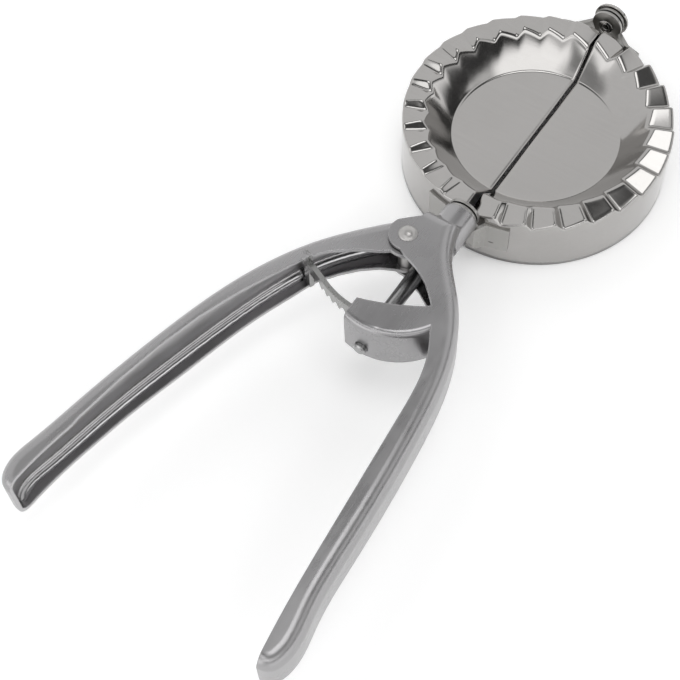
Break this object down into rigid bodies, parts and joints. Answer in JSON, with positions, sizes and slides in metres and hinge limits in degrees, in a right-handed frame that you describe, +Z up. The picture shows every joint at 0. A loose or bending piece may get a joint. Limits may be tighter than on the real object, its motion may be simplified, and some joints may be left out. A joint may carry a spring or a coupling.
{
  "type": "dumpling press",
  "caption": "Hand press for filled pastries: plier handles work a curved rack and pinion that folds one fluted half mould over onto the other.",
  "frame": {"origin": "on the hinge line of the two half moulds, at the middle of the round mould", "axes": "+X along the hinge line from the handles to the far pivot, +Y towards the half that folds, +Z up out of the open dish"},
  "size_m": [0.2584, 0.1042, 0.0354],
  "materials": {
    "mould_steel": "bright pressed stainless sheet with fine wiping marks",
    "handle_steel": "satin tumbled stainless outside, bright inside the channels",
    "bracket_steel": "satin stainless strip with small spot weld marks",
    "rivet_steel": "smooth stainless, slightly hammered heads",
    "shaft_steel": "drawn stainless rod",
    "gear_steel": "stamped stainless, cut edges",
    "spring_steel": "drawn spring wire",
    "bush_brass": "turned bush inside the neck"
  },
  "bodies": {
    "frame": {"fixed_handle": "handle_steel", "right_mould": "mould_steel", "right_near_bracket": "bracket_steel", "right_far_bracket": "bracket_steel", "near_spacer": "rivet_steel", "far_spacer": "rivet_steel", "neck_bush": "bush_brass", "lever_rivet": "rivet_steel", "far_rivet": "rivet_steel", "far_washer": "rivet_steel", "return_spring": "spring_steel"},
    "lever": {"lever_handle": "handle_steel", "rack": "gear_steel", "rivet_sleeve": "rivet_steel"},
    "folding_half": {"left_mould": "mould_steel", "left_near_bracket": "bracket_steel", "left_far_bracket": "bracket_steel", "drive_shaft": "shaft_steel", "pinion": "gear_steel", "pinion_pin": "shaft_steel", "shaft_washer": "rivet_steel"}
  },
  "joints": [
    {"name": "lever_squeeze", "type": "hinge", "parent": "frame", "child": "lever", "pos_m": [-0.0705, 0.0062, 0.0034], "axis": [0, 0, 1], "range_deg": [0, 28.08], "stiffness_Nm_per_rad": 0.6, "springref_deg": -20.05},
    {"name": "mould_fold", "type": "hinge", "parent": "frame", "child": "folding_half", "pos_m": [0, 0, 0], "axis": [1, 0, 0], "range_deg": [0, 180]}
  ],
  "couplings": [
    {"joint": "mould_fold", "follows": "lever_squeeze", "ratio": 6.4091}
  ]
}
